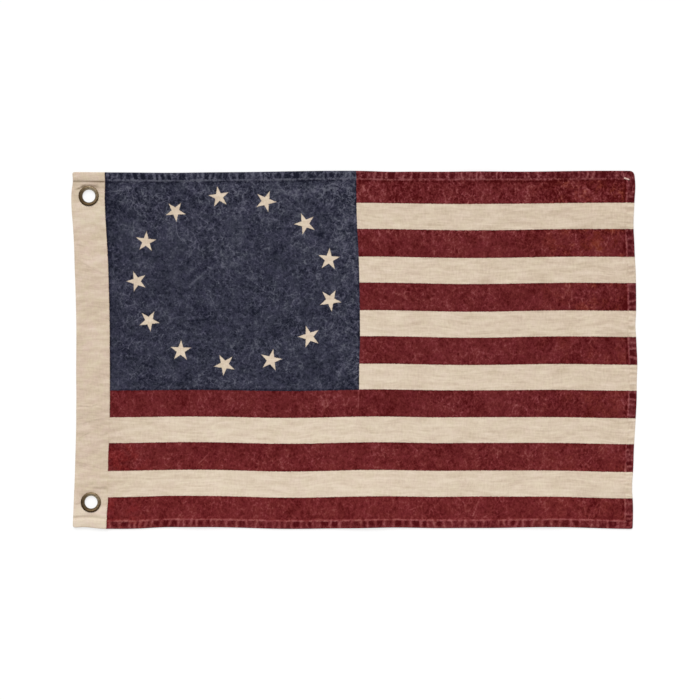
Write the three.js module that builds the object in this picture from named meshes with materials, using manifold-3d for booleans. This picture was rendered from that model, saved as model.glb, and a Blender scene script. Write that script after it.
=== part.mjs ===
// Small printed cotton flag, washed soft and laid flat: a field with turned hems, the plain heading
// strip along its left edge, and two brass eyelets, each clinched over a washer at the back.
// Millimetres. +X runs from the heading to the fly, +Y to the top edge, +Z up off the surface.

import * as THREE from 'three';
import { mergeVertices } from 'three/addons/utils/BufferGeometryUtils.js';
import Module from 'manifold-3d';

const wasm = await Module();
wasm.setup();

// Cloth: the finished flag before it is washed and laid down
const FLAG_LENGTH = 457.2;
const FLAG_HEIGHT = 290;
const HEADING_WIDTH = 28.6;
const HEM_WIDTH = 6.5;
const HEM_STEP = 1.5;
const CORNER_RADIUS = 2.5;
const FIELD_THICKNESS = 1;
const HEM_THICKNESS = 1.8;
const HEADING_THICKNESS = 1.2;
const HEADING_HEM_THICKNESS = 2;
const PIECE_GAP = 0.3;

// Eyelets: brass, one near each end of the heading
const EYELET_INSET_X = 14;
const TOP_EYELET_INSET_Y = 19.9;
const BOTTOM_EYELET_INSET_Y = 20.9;
const EYELET_HOLE_RADIUS = 5;
const BARREL_RADIUS = 5.6;
const FLANGE_RADIUS = 8.1;
const FLANGE_RISE = 1.3;
const CROWN_RADII = [6.2, 7];
const WASHER_THICKNESS = 0.7;
const EYELET_SIDES = 24;

// Facets of the cloth
const FIELD_COLUMNS = 42;
const HEADING_COLUMNS = 4;
const ROWS = 28;

// How the washed cloth has drawn out of square. Each pull is [where along the edge, width, push].
const HEADING_PULLS = [[139, 8, 1.4], [-20, 70, 0.4], [-17, 24, -0.55], [116, 18, -0.75], [-112, 18, 0.15]];
const FLY_PULLS = [[134, 11, 1.2], [101, 14, -1.4], [78, 12, -0.6], [20, 9, -0.9], [-11, 12, 0.8],
  [-38, 16, 0.6], [-84, 20, -0.9], [-111, 13, -1.6]];
const TOP_PULLS = [[-215, 45, -1.3], [-153, 34, -0.6], [30, 16, -0.5], [105, 30, 0.6]];
const BOTTOM_PULLS = [[-218, 9, 1], [-155, 16, 0.6], [6, 25, -0.7], [92, 26, 0.7]];
const PULL_REACH = 40;

// Low ridges where the cloth stands off the surface, each running in from an edge:
// start x, start y, heading angle in degrees, length, half width, rise.
const RIDGES = [
  [230, 106, 182, 80, 15, 1.7],
  [230, -113, 176, 66, 14, 1.6],
  [230, 20, 181, 48, 10, 0.9],
  [-125, -147, 93, 60, 24, 1.3],
  [15, -147, 86, 66, 24, 1.5],
  [158, -147, 92, 50, 22, 1.3],
  [102, 147, 268, 60, 26, 1.4],
  [-118, 147, 272, 50, 24, 1.2],
  [-231, -50, 12, 40, 7, 0.9],
  [-231, 66, -14, 38, 8, 0.8],
];
const RIDGE_FLOOR = 0.06;

// The heading and the cloth beside it are held up on each washer.
const EYELET_LIFT = WASHER_THICKNESS + PIECE_GAP;
const LIFT_HOLD_RADIUS = 15;
const LIFT_FADE = 17;

const HALF_LENGTH = FLAG_LENGTH / 2;
const HALF_HEIGHT = FLAG_HEIGHT / 2;
const HEADING_EDGE = -HALF_LENGTH + HEADING_WIDTH;
const EYELETS = [
  { name: 'top', x: -HALF_LENGTH + EYELET_INSET_X, y: HALF_HEIGHT - TOP_EYELET_INSET_Y },
  { name: 'bottom', x: -HALF_LENGTH + EYELET_INSET_X, y: -HALF_HEIGHT + BOTTOM_EYELET_INSET_Y },
];

// Eases from 0 to 1.
function ease(t) {
  const held = THREE.MathUtils.clamp(t, 0, 1);
  return held * held * (3 - 2 * held);
}

// The push of a set of pulls at one place along an edge.
function pulled(along, pulls) {
  let push = 0;
  for (const [at, width, depth] of pulls) {
    push += depth * Math.exp(-(((along - at) / width) ** 2));
  }
  return push;
}

// Sideways bow of the weave, deepest a little off the middle and further up towards the fly.
function bowed(x, y) {
  const across = ease((x + HALF_LENGTH) / FLAG_LENGTH);
  const depth = 3.9 - 0.9 * across;
  const middle = -17 + 27 * across;
  return depth * (Math.cos(Math.PI * (y - middle) / 310) - 0.5) + 0.6 - 1.2 * across;
}

// Slow up-and-down wave of the printed stripes, of one length along the top and another below.
function waved(x, y) {
  const up = y / FLAG_HEIGHT + 0.5;
  const above = -0.6 * Math.cos(2 * Math.PI * (x - 102) / 215);
  const below = -0.75 * Math.cos(2 * Math.PI * (x + 50) / 140);
  return above * up + below * (1 - up);
}

// Height of the cloth's underside over the surface.
function lifted(x, y) {
  let height = 0;
  for (const [startX, startY, degrees, length, halfWidth, rise] of RIDGES) {
    const turn = THREE.MathUtils.degToRad(degrees);
    const along = (x - startX) * Math.cos(turn) + (y - startY) * Math.sin(turn);
    const aside = (y - startY) * Math.cos(turn) - (x - startX) * Math.sin(turn);
    height += rise * Math.exp(-((aside / halfWidth) ** 2)) * ease(1 - along / length);
  }
  height = Math.max(height - RIDGE_FLOOR, 0);
  for (const eyelet of EYELETS) {
    const away = Math.hypot(x - eyelet.x, y - eyelet.y);
    const hold = ease(1 - (away - LIFT_HOLD_RADIUS) / LIFT_FADE);
    height = THREE.MathUtils.lerp(height, EYELET_LIFT, hold);
  }
  return height;
}

// Rounds the four corners: the square of cloth at each corner is drawn in to a quarter disc.
function cornered(x, y) {
  const across = Math.max(1 - (HALF_LENGTH - Math.abs(x)) / CORNER_RADIUS, 0);
  const up = Math.max(1 - (HALF_HEIGHT - Math.abs(y)) / CORNER_RADIUS, 0);
  const dx = across * (Math.sqrt(1 - up * up / 2) - 1) * CORNER_RADIUS;
  const dy = up * (Math.sqrt(1 - across * across / 2) - 1) * CORNER_RADIUS;
  return [x + dx * Math.sign(x), y + dy * Math.sign(y)];
}

// Where a point of the flat flag comes to lie.
function laid(x, y) {
  const nearHeading = ease(1 - (x + HALF_LENGTH) / PULL_REACH);
  const nearFly = ease(1 - (HALF_LENGTH - x) / PULL_REACH);
  const nearTop = ease(1 - (HALF_HEIGHT - y) / PULL_REACH);
  const nearBottom = ease(1 - (HALF_HEIGHT + y) / PULL_REACH);
  const dx = bowed(x, y) + nearHeading * pulled(y, HEADING_PULLS) + nearFly * pulled(y, FLY_PULLS);
  const dy = waved(x, y) + nearTop * pulled(x, TOP_PULLS) + nearBottom * pulled(x, BOTTOM_PULLS);
  const [roundedX, roundedY] = cornered(x, y);
  return new THREE.Vector3(roundedX + dx, roundedY + dy, lifted(x, y));
}

// Evenly spaced grid lines between two ends.
function spaced(low, high, steps) {
  return Array.from({ length: steps + 1 }, (_, i) => THREE.MathUtils.lerp(low, high, i / steps));
}

// Grid lines over a hem that ends at an edge: its inner line, the start of the corner and the edge.
function hemLines(edge) {
  return [edge - HEM_WIDTH, edge - CORNER_RADIUS, edge];
}

// Grid lines across the flag, with a close pair at each hem's inner edge.
function hemmedRows() {
  const inner = HALF_HEIGHT - HEM_WIDTH - HEM_STEP;
  const hem = hemLines(HALF_HEIGHT);
  return [...hem.map((line) => -line).reverse(), ...spaced(-inner, inner, ROWS), ...hem];
}

function fieldColumns() {
  const inner = HALF_LENGTH - HEM_WIDTH - HEM_STEP;
  return [...spaced(HEADING_EDGE + PIECE_GAP, inner, FIELD_COLUMNS), ...hemLines(HALF_LENGTH)];
}

function headingColumns() {
  const outer = [-HALF_LENGTH, -HALF_LENGTH + CORNER_RADIUS];
  return [...outer, ...spaced(-HALF_LENGTH + HEM_WIDTH, HEADING_EDGE, HEADING_COLUMNS)];
}

function merged(geometry) {
  geometry.deleteAttribute('normal');
  geometry.deleteAttribute('uv');
  return mergeVertices(geometry, 1e-4);
}

// A closed sheet over a grid of the flat flag: its underside lies on the surface or its ridges.
function sheet(columns, rows, thicknessAt) {
  const geometry = new THREE.BoxGeometry(1, 1, 1, columns.length - 1, rows.length - 1, 1);
  const place = geometry.getAttribute('position');
  for (let i = 0; i < place.count; i++) {
    const x = columns[Math.round((place.getX(i) + 0.5) * (columns.length - 1))];
    const y = rows[Math.round((place.getY(i) + 0.5) * (rows.length - 1))];
    const point = laid(x, y);
    const thickness = place.getZ(i) > 0 ? thicknessAt(x, y) : 0;
    place.setXYZ(i, point.x, point.y, point.z + thickness);
  }
  return merged(geometry);
}

function fieldThickness(x, y) {
  const onHem = Math.abs(y) >= HALF_HEIGHT - HEM_WIDTH || x >= HALF_LENGTH - HEM_WIDTH;
  return onHem ? HEM_THICKNESS : FIELD_THICKNESS;
}

function headingThickness(x, y) {
  return Math.abs(y) >= HALF_HEIGHT - HEM_WIDTH ? HEADING_HEM_THICKNESS : HEADING_THICKNESS;
}

// manifold-3d joins and cuts closed meshes.
function toManifold(geometry) {
  const vertProperties = new Float32Array(geometry.getAttribute('position').array);
  const triVerts = new Uint32Array(geometry.index.array);
  return new wasm.Manifold(new wasm.Mesh({ numProp: 3, vertProperties, triVerts }));
}

function toGeometry(solid) {
  const mesh = solid.getMesh();
  const geometry = new THREE.BufferGeometry();
  geometry.setAttribute('position', new THREE.BufferAttribute(mesh.vertProperties, 3));
  geometry.setIndex(new THREE.BufferAttribute(mesh.triVerts, 1));
  return geometry;
}

// The heading strip, with a round hole punched for each eyelet's barrel.
function headingStrip() {
  let strip = toManifold(sheet(headingColumns(), hemmedRows(), headingThickness));
  const punchRadius = BARREL_RADIUS + PIECE_GAP;
  const punchLength = 20;
  for (const eyelet of EYELETS) {
    const punch = new THREE.CylinderGeometry(punchRadius, punchRadius, punchLength, EYELET_SIDES);
    const centre = laid(eyelet.x, eyelet.y);
    punch.rotateX(Math.PI / 2);
    punch.translate(centre.x, centre.y, 0);
    strip = strip.subtract(toManifold(merged(punch)));
  }
  return toGeometry(strip);
}

// A ring turned from a closed outline of [radius, height] points, standing on the surface.
function turnedRing(outline) {
  const points = outline.map(([radius, height]) => new THREE.Vector2(radius, height));
  const geometry = new THREE.LatheGeometry([...points, points[0].clone()], EYELET_SIDES);
  geometry.rotateX(Math.PI / 2);
  return merged(geometry);
}

// The eyelet: a domed flange on the heading's face with a flat crown, and the barrel below it.
function eyeletRing() {
  const seat = EYELET_LIFT + HEADING_THICKNESS + PIECE_GAP;
  const crown = seat + FLANGE_RISE;
  return turnedRing([
    [EYELET_HOLE_RADIUS, PIECE_GAP],
    [BARREL_RADIUS, PIECE_GAP],
    [BARREL_RADIUS, seat],
    [FLANGE_RADIUS - 0.3, seat],
    [FLANGE_RADIUS, seat + 0.35],
    [FLANGE_RADIUS - 0.35, seat + 0.95],
    [CROWN_RADII[1], crown],
    [CROWN_RADII[0], crown],
    [EYELET_HOLE_RADIUS + 0.35, seat + 0.9],
    [EYELET_HOLE_RADIUS, seat + 0.2],
  ]);
}

// The washer under the cloth, which the flag rests on.
function washerRing() {
  const inside = BARREL_RADIUS + PIECE_GAP;
  const edge = 0.3;
  return turnedRing([
    [inside, 0],
    [FLANGE_RADIUS - edge, 0],
    [FLANGE_RADIUS, edge],
    [FLANGE_RADIUS - edge, WASHER_THICKNESS],
    [inside, WASHER_THICKNESS],
  ]);
}

function finished(name, geometry, color, roughness, metalness) {
  const material = new THREE.MeshStandardMaterial({ color, roughness, metalness });
  const mesh = new THREE.Mesh(geometry, material);
  mesh.name = name;
  return mesh;
}

const flag = new THREE.Group();
flag.add(finished('flag_cloth', sheet(fieldColumns(), hemmedRows(), fieldThickness), 0x68292a, 0.95, 0));
flag.add(finished('heading_strip', headingStrip(), 0xd8c8b4, 0.95, 0));
for (const eyelet of EYELETS) {
  const centre = laid(eyelet.x, eyelet.y);
  const front = finished(`${eyelet.name}_eyelet`, eyeletRing(), 0x6b5a3c, 0.45, 0.9);
  const back = finished(`${eyelet.name}_washer`, washerRing(), 0x6b5a3c, 0.5, 0.9);
  front.position.set(centre.x, centre.y, 0);
  back.position.set(centre.x, centre.y, 0);
  flag.add(front, back);
}

// The origin is on the surface, under the middle of the outline.
const middle = new THREE.Box3().setFromObject(flag).getCenter(new THREE.Vector3());
flag.position.set(-middle.x, -middle.y, 0);

export default flag;
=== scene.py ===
import bisect
import math
import random

import bmesh
import bpy
from mathutils import Matrix, Vector, noise


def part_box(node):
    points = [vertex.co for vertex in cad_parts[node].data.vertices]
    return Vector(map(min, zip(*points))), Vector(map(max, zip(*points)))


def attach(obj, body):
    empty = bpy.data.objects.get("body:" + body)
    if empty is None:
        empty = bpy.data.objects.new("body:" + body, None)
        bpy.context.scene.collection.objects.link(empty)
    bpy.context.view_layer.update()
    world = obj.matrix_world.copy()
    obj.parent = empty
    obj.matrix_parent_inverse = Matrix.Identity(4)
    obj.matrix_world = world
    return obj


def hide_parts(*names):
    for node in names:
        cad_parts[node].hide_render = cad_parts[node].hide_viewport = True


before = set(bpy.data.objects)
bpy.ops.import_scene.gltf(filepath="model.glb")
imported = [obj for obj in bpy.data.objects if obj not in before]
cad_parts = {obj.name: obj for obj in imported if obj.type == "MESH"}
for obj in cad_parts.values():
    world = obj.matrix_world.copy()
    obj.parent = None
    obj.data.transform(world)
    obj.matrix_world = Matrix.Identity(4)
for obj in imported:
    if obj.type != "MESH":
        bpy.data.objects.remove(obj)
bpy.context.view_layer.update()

# A small printed cotton flag, washed soft, laid flat and face up. +X runs from the heading to the
# fly, +Y to the top edge, +Z up off the surface. The cloth is cut and sewn flat in millimetres, as
# its maker would, and every point is then laid where it comes to lie. Finished pieces are in metres.

MM = 0.001

# ---------- sizes, mm

FLAG_LENGTH = 457.2
FLAG_HEIGHT = 290
HALF_LENGTH = FLAG_LENGTH / 2
HALF_HEIGHT = FLAG_HEIGHT / 2
HEADING_WIDTH = 28.6
HEADING_EDGE = -HALF_LENGTH + HEADING_WIDTH
HEM_WIDTH = 6.5
# The corners' radii by their sides: 1 at the fly and -1 at the heading, 1 at the top and -1 at the foot
CORNER_RADII = {(-1, 1): 2.5, (-1, -1): 2.5, (1, 1): 3.8, (1, -1): 1.8}
CLOTH = 0.46

# How far the face stands over the layers turned under it
HEM_RISE = 0.9
HEADING_RISE = 0.8
RISE_REACH = 1.5           # over how much of the face it rises
FOLD_BULGE = 0.4
FOLD_ROUND = 0.6           # how far in the face stops, so that the fold ends on the outline
FOLD_TURNS = (50, 90, 130, 165)
LIP = 1.6                  # the raw edge, folded in under the turning
CORNER_REACH = 12

# Grid of the cloth: closer lines over the hems, which are also cut finer along their length
COLUMN_STEP = 2.6
ROW_STEP = 2.6
HEM_LINES = [0, 0.9, 2.2, 3.6, 5, 6.2, 7.2, 8.6]
HEADING_LINES = [0, 0.9, 2.2]
HEM_CUTS = 2
HEADING_CUTS = 1
LONG_EDGE = 1.5
NEAR = 0.01
HEM_TURN_LINES = [2.2, 4.4, HEM_WIDTH - 0.6]
HEADING_TURN_LINES = [5, 9, 13, 17, 21, 24, HEADING_WIDTH - 2.2]

# Stitches: the hems' wander a little in their distance from the edge, and the heading's don't
STITCH_INSET = 6.2
STITCH_WANDER = 0.5
STITCH_WAVE = 83
STITCH_PITCH = 2.9
STITCH_LENGTH = 2.2
STITCH_ENDS = 5.5
HEADING_STITCH_INSET = 1.6
THREAD = 0.42
THREAD_FLATTENED = 0.72
THREAD_LIFT = 0.3
GROOVE = 0.3
GROOVE_HALF_WIDTH = 0.8
# A snipped end on the top hem, as strands takes it
LOOSE_STRANDS = [
    ((221, 138.7), (223, 138), (3.2, 1.5, 0.9), 0.6),
    ((222.8, 138.1), (224.8, 137.5), (2.8, 1.4, 0.8), 0.6),
]

# Puckers of the roped hems: (random seed, closest, widest apart), and half width of a ridge
PUCKER_SPACING = {"top": (41149, 2.9, 8.2), "bottom": (47953, 3.6, 9), "fly": (8, 3.4, 8.4)}
PUCKER_HALF_WIDTH = {"top": 0.75, "bottom": 1, "fly": 0.85}
PUCKER_SLANT = 1.3
PUCKER_RISE = 0.2

# Soft crinkles that washing leaves: how wide, how high up, place in the noise, and depth
CRINKLES = [(34, 19, 0.3, 0.22), (13, 8, 4.1, 0.12)]
CRINKLE_LEVEL = 0.16

# How the washed cloth has drawn out of square: (where along the edge, width, push)
HEADING_PULLS = [(139, 8, 1.4), (-20, 70, 0.4), (-17, 24, -0.55), (116, 18, -0.75), (-112, 18, 0.15)]
FLY_PULLS = [(134, 11, 1.2), (101, 14, -1.4), (78, 12, -0.6), (20, 9, -0.9), (-11, 12, 0.8),
             (-38, 16, 0.6), (-84, 20, -0.9), (-111, 13, -1.6)]
TOP_PULLS = [(-215, 45, -1.3), (-153, 34, -0.6), (30, 16, -0.5), (105, 30, 0.6)]
BOTTOM_PULLS = [(-218, 9, 1), (-155, 16, 0.6), (6, 25, -0.7), (92, 26, 0.7)]
PULL_REACH = 40
# The weave's sideways bow at the heading, and how much it changes to the fly: depth, middle and offset
BOW, BOW_CHANGE = (3.9, -17, 0.6), (-0.9, 27, -1.2)
BOW_SPAN = 310
# Slow waves of the stripes: (depth, where deepest, length)
TOP_WAVE = (0.6, 102, 215)
FOOT_WAVE = (0.75, -50, 140)

# Low ridges that stand off the surface: start x and y, heading in degrees, length, half width, rise
RIDGES = [
    (230, 106, 182, 80, 15, 1.7), (230, -113, 176, 66, 14, 1.6), (230, 20, 181, 48, 10, 0.9),
    (-125, -147, 93, 60, 24, 1.3), (15, -147, 86, 66, 24, 1.5), (158, -147, 92, 50, 22, 1.3),
    (102, 147, 268, 60, 26, 1.4), (-118, 147, 272, 50, 24, 1.2), (-231, -50, 12, 40, 7, 0.9),
    (-231, 66, -14, 38, 8, 0.8),
]
RIDGE_FLOOR = 0.06

# Small creases in the heading's face, in the same form
CREASES = [
    (-229, -47, 14, 26, 1.7, -0.32), (-229, -57, 10, 24, 1.5, -0.24), (-229, -64, 16, 27, 1.8, -0.3),
    (-229, -70, 8, 20, 1.6, -0.22), (-229, 67, -16, 28, 2.2, -0.3), (-229, 58, -10, 22, 1.8, -0.2),
    (-213, -110, 8, 20, 1.8, -0.34), (-222, 133, 2, 14, 1.6, -0.4), (-229, -88, 6, 20, 2.0, -0.2),
    (-229, 20, -5, 24, 2.4, -0.18),
]

# Eyelets: the top of the cloth under each flange, and the rings' own sizes
EYELET_INSET_X = 14
TOP_EYELET_INSET_Y = 19.9
BOTTOM_EYELET_INSET_Y = 20.9
EYELET_LIFT = 1
LIFT_HOLD_RADIUS = 15
LIFT_FADE = 17
EYELETS = {
    "top": (-HALF_LENGTH + EYELET_INSET_X, HALF_HEIGHT - TOP_EYELET_INSET_Y),
    "bottom": (-HALF_LENGTH + EYELET_INSET_X, -HALF_HEIGHT + BOTTOM_EYELET_INSET_Y),
}
CLOTH_HOLE_RADIUS = 6.1
CLOTH_CLEAR_RADIUS = 5.9
FLANGE_RADIUS = 8.1
FLANGE_SEAT = 2.3

# The print, and how far it lies off its true place: down all over, more in the middle and in the low
# stripes, and up or sideways at some heights
PRINT_DROP = 0.3
PRINT_SAG = 0.5
PRINT_PULLS = [(-165, 45, -0.7), (98, 32, -0.9), (190, 60, 0.6)]
LOW_STRIPES_EASE = (20, 90)
PRINT_LIFTS = [(-72, 42, 0.62)]
PRINT_SHIFTS = [(108, 26, 0.75), (-87, 14, 0.5), (-120, 8, -0.5)]
RED_SPREAD = 0.4
STRIPE = 21.78
STRIPED_HALF = 5.5 * STRIPE
CANTON_EDGE = 3.1
CANTON_LOW_EDGE = 2.4      # below the jog in the middle of its side
CANTON_JOG = (15, -15)
PRINT_START = HEADING_EDGE - 1.3
CANTON_FOOT = -1.5 * STRIPE
RING_CENTRE = (-98.6, 56.9)
RING_RADII = (79.8, 68.9)
RING_START = math.radians(97.3)
STARS = 13
STAR_RADIUS = 8.72
STAR_SWELL = 0.042
SWOLLEN_TOWARDS = math.radians(-30)


# ---------- how the cloth lies

def eased(t):
    """Eases from 0 to 1."""
    held = min(max(t, 0.0), 1.0)
    return held * held * (3 - 2 * held)


def pulled(along, pulls):
    return sum(push * math.exp(-(((along - at) / width) ** 2)) for at, width, push in pulls)


def bowed(x, y):
    """Sideways bow of the weave, deepest a little off the middle."""
    across = eased((x + HALF_LENGTH) / FLAG_LENGTH)
    depth, middle, offset = (start + change * across for start, change in zip(BOW, BOW_CHANGE))
    return depth * (math.cos(math.pi * (y - middle) / BOW_SPAN) - 0.5) + offset


def waved(x, y):
    """Slow wave of the stripes, with its own length along the top and along the bottom."""
    up = y / FLAG_HEIGHT + 0.5
    above, below = (-depth * math.cos(2 * math.pi * (x - at) / length)
                    for depth, at, length in (TOP_WAVE, FOOT_WAVE))
    return above * up + below * (1 - up)


def over_ridges(x, y, ridges):
    height = 0.0
    for start_x, start_y, degrees, length, half_width, rise in ridges:
        turn = math.radians(degrees)
        along = (x - start_x) * math.cos(turn) + (y - start_y) * math.sin(turn)
        aside = (y - start_y) * math.cos(turn) - (x - start_x) * math.sin(turn)
        if along < length and abs(aside) < 3 * half_width:
            height += rise * math.exp(-((aside / half_width) ** 2)) * eased(1 - along / length)
    return height


def lifted(x, y):
    """Height of the cloth's underside over the surface."""
    height = max(over_ridges(x, y, RIDGES) - RIDGE_FLOOR, 0)
    for eyelet_x, eyelet_y in EYELETS.values():
        hold = eased(1 - (math.hypot(x - eyelet_x, y - eyelet_y) - LIFT_HOLD_RADIUS) / LIFT_FADE)
        height += (EYELET_LIFT - height) * hold
    return height


def cornered(x, y):
    """Rounds the corners: the square of cloth at each is drawn in to a quarter disc."""
    side_x, side_y = math.copysign(1, x), math.copysign(1, y)
    radius = CORNER_RADII[side_x, side_y]
    from_sides = HALF_LENGTH - abs(x), HALF_HEIGHT - abs(y)
    across, up = (min(max(1 - inset / radius, 0), 1) for inset in from_sides)
    dx = across * (math.sqrt(1 - up * up / 2) - 1) * radius
    dy = up * (math.sqrt(1 - across * across / 2) - 1) * radius
    return x + dx * side_x, y + dy * side_y


def edge_pull(inset, along, pulls):
    return eased(1 - inset / PULL_REACH) * pulled(along, pulls)


def laid_loose(x, y):
    dx = bowed(x, y) + edge_pull(x + HALF_LENGTH, y, HEADING_PULLS)
    dx += edge_pull(HALF_LENGTH - x, y, FLY_PULLS)
    dy = waved(x, y) + edge_pull(HALF_HEIGHT - y, x, TOP_PULLS)
    dy += edge_pull(HALF_HEIGHT + y, x, BOTTOM_PULLS)
    round_x, round_y = cornered(x, y)
    return Vector((round_x + dx, round_y + dy, lifted(x, y)))


def middle_of(node):
    low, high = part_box(node)
    return (Vector(low) + Vector(high)) / (2 * MM)


# The frame's origin is under the middle of the outline, so its eyelet says how far all is shifted.
shift = middle_of("top_eyelet") - laid_loose(*EYELETS["top"])
shift.z = 0


def laid(x, y, height=0):
    """Where a point of the flat flag comes to lie, with its height in the layers of cloth."""
    place = laid_loose(x, y) + shift
    place.z += height
    return place


def print_spot(x, y):
    """The spot of the pattern that was printed at a point, as the print is a little off true."""
    low = eased((LOW_STRIPES_EASE[0] - y) / LOW_STRIPES_EASE[1])
    drift = PRINT_DROP + PRINT_SAG * math.cos(math.pi * y / FLAG_HEIGHT) + low * pulled(x, PRINT_PULLS)
    return Vector((x + pulled(y, PRINT_SHIFTS), y + drift - pulled(y, PRINT_LIFTS)))


# ---------- the face of the cloth

def pucker_lines(edge, end):
    """The ridges of a roped hem: each one's place, and how deep the hollow after it is."""
    seed, closest, widest = PUCKER_SPACING[edge]
    draw = random.Random(seed)
    lines = [(-end, 1.0)]
    while lines[-1][0] < end:
        lines.append((lines[-1][0] + draw.uniform(closest, widest), draw.uniform(0.1, 1)))
    return lines


PUCKERS = {edge: pucker_lines(edge, HALF_HEIGHT if edge == "fly" else HALF_LENGTH)
           for edge in PUCKER_SPACING}


def pucker(edge, along, inset):
    """The roped hem: up to 1 on a ridge, down to -1 in a hollow, 0 past the stitches."""
    lines = PUCKERS[edge]
    slant = PUCKER_SLANT * noise.noise(Vector((along / 9, inset / 5, 2.5 if edge == "fly" else 7.5)))
    at = along + slant
    after = min(max(bisect.bisect_left(lines, (at, 0)), 1), len(lines) - 1)
    (start, depth), (end, _) = lines[after - 1], lines[after]
    away = min(abs(end - at), abs(at - start))
    half_width = PUCKER_HALF_WIDTH[edge]
    hollow = depth * eased((away - half_width) / 0.8) * eased((inset - 0.4) / 0.9)
    within = eased((STITCH_INSET - 0.2 - inset) / 1.1)
    return (math.exp(-((away / half_width) ** 2)) - hollow) * within


def stitch_inset(along):
    return STITCH_INSET + STITCH_WANDER * math.sin(2 * math.pi * along / STITCH_WAVE)


def insets(x, y):
    """Distance in from each hemmed edge, and place along it."""
    return {"top": (HALF_HEIGHT - y, x), "bottom": (HALF_HEIGHT + y, x), "fly": (HALF_LENGTH - x, y)}


def roped(x, y):
    """The stronger of the hems' puckers at a point."""
    found = 0.0
    for edge, (inset, along) in insets(x, y).items():
        if inset < HEM_WIDTH and (edge == "fly" or x > HEADING_EDGE):
            found = max(found, pucker(edge, along, inset), key=abs)
    return found


def over_layers(x, y):
    """How far the turned layers under the face raise it."""
    hem = 0.0
    for inset, _ in insets(x, y).values():
        hem = max(hem, eased((HEM_WIDTH + 1.3 - inset) / RISE_REACH))
    heading = eased((HEADING_EDGE + 1 - x) / 2)
    return hem * HEM_RISE + heading * HEADING_RISE


def grooved(x, y):
    """Depth that the stitches draw the face down."""
    depth = 0.0
    for inset, along in insets(x, y).values():
        off = (inset - stitch_inset(along)) / GROOVE_HALF_WIDTH
        depth = max(depth, GROOVE * math.exp(-off * off))
    return depth


def crinkled(x, y):
    return CRINKLE_LEVEL + sum(
        depth * noise.noise(Vector((x / wide, y / high, place))) for wide, high, place, depth in CRINKLES)


def face_height(x, y):
    """Height of the middle of the face's cloth over all its layers' underside."""
    layers = over_layers(x, y)
    height = CLOTH / 2 + layers
    height += max(crinkled(x, y), 0)
    height += over_ridges(x, y, CREASES) * eased(layers / HEADING_RISE)
    height += PUCKER_RISE * roped(x, y)
    if layers > 0.2:
        height -= grooved(x, y)
    near = min(math.hypot(x - ex, y - ey) for ex, ey in EYELETS.values())
    seat = FLANGE_SEAT - EYELET_LIFT - CLOTH / 2 - 0.05
    pressed = eased(1 - (near - FLANGE_RADIUS) / 2.5)
    return max(height + (seat - height) * pressed, CLOTH / 2)


# ---------- the sewn cloth

def graded(low, high, step, low_lines, high_lines):
    """Grid lines from low to high: close ones at each end, and even ones between."""
    first, last = low + low_lines[-1], high - high_lines[-1]
    count = round((last - first) / step)
    between = [first + (last - first) * i / count for i in range(count + 1)]
    return [low + line for line in low_lines[:-1]] + between + [high - line for line in high_lines[-2::-1]]


def flat_face():
    """The face of the flag as one flat grid, in millimetres."""
    columns = graded(-HALF_LENGTH, HALF_LENGTH, COLUMN_STEP, HEADING_LINES, HEM_LINES)
    rows = graded(-HALF_HEIGHT, HALF_HEIGHT, ROW_STEP, HEM_LINES, HEM_LINES)
    cloth = bmesh.new()
    bmesh.ops.create_grid(cloth, x_segments=len(columns) - 1, y_segments=len(rows) - 1, size=0.5)
    for vert in cloth.verts:
        column = round((vert.co.x + 0.5) * (len(columns) - 1))
        row = round((vert.co.y + 0.5) * (len(rows) - 1))
        vert.co = (columns[column], rows[row], 0)
    for fits, cuts in ((along_hem, HEM_CUTS), (up_heading, HEADING_CUTS)):
        edges = [edge for edge in cloth.edges if fits(*(vert.co for vert in edge.verts))]
        bmesh.ops.subdivide_edges(cloth, edges=edges, cuts=cuts, use_grid_fill=True)
    return cloth


def along_hem(a, b):
    """Whether an edge is one of the longer ones that run along a hem."""
    band = HEM_LINES[-1] + NEAR
    level = abs(a.y - b.y) < NEAR and abs(a.y) > HALF_HEIGHT - band and abs(a.x - b.x) > LONG_EDGE
    upright = abs(a.x - b.x) < NEAR and a.x > HALF_LENGTH - band and abs(a.y - b.y) > LONG_EDGE
    return level or upright


def up_heading(a, b):
    """Whether an edge stands upright in the heading, where small creases cross it."""
    middle = HALF_HEIGHT - HEM_LINES[-1] + NEAR
    inside = max(a.x, b.x) < HEADING_EDGE + 1 and max(abs(a.y), abs(b.y)) < middle
    return inside and abs(a.x - b.x) < NEAR


def on_edge(vert, edge):
    reach = {
        "top": vert.co.y - HALF_HEIGHT,
        "bottom": -vert.co.y - HALF_HEIGHT,
        "fly": vert.co.x - HALF_LENGTH,
        "heading": -vert.co.x - HALF_LENGTH,
    }
    return abs(reach[edge]) < 1e-3


def edges_of(cloth, *names):
    return [e for e in cloth.edges if e.is_boundary
            and any(all(on_edge(v, name) for v in e.verts) for name in names)]


def turned_rings(cloth, edges, count):
    """Extrudes the edges count times, leaving each new ring of points on the edge itself."""
    rings = []
    for _ in range(count):
        grown = bmesh.ops.extrude_edge_only(cloth, edges=edges)["geom"]
        ring = {item for item in grown if isinstance(item, bmesh.types.BMVert)}
        edges = [item for item in grown if isinstance(item, bmesh.types.BMEdge)
                 and all(vert in ring for vert in item.verts)]
        rings.append(ring)
    return rings


def turn_under(depths):
    """Outline of a turned edge: (out past the edge, in from it, share of the drop, cloth used)."""
    fold = [(FOLD_BULGE * math.sin(turn), 0, (1 + math.cos(turn)) / 2, 0.45 * turn)
            for turn in map(math.radians, FOLD_TURNS)]
    last = depths[-1]
    lip = [(0, last + 0.3, 0.2, last + 2), (0, last, 0.42, last + 2.4), (0, last - LIP, 0.42, last + 4)]
    return fold + [(0, depth, 0, depth + 1.4) for depth in depths] + lip


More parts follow.
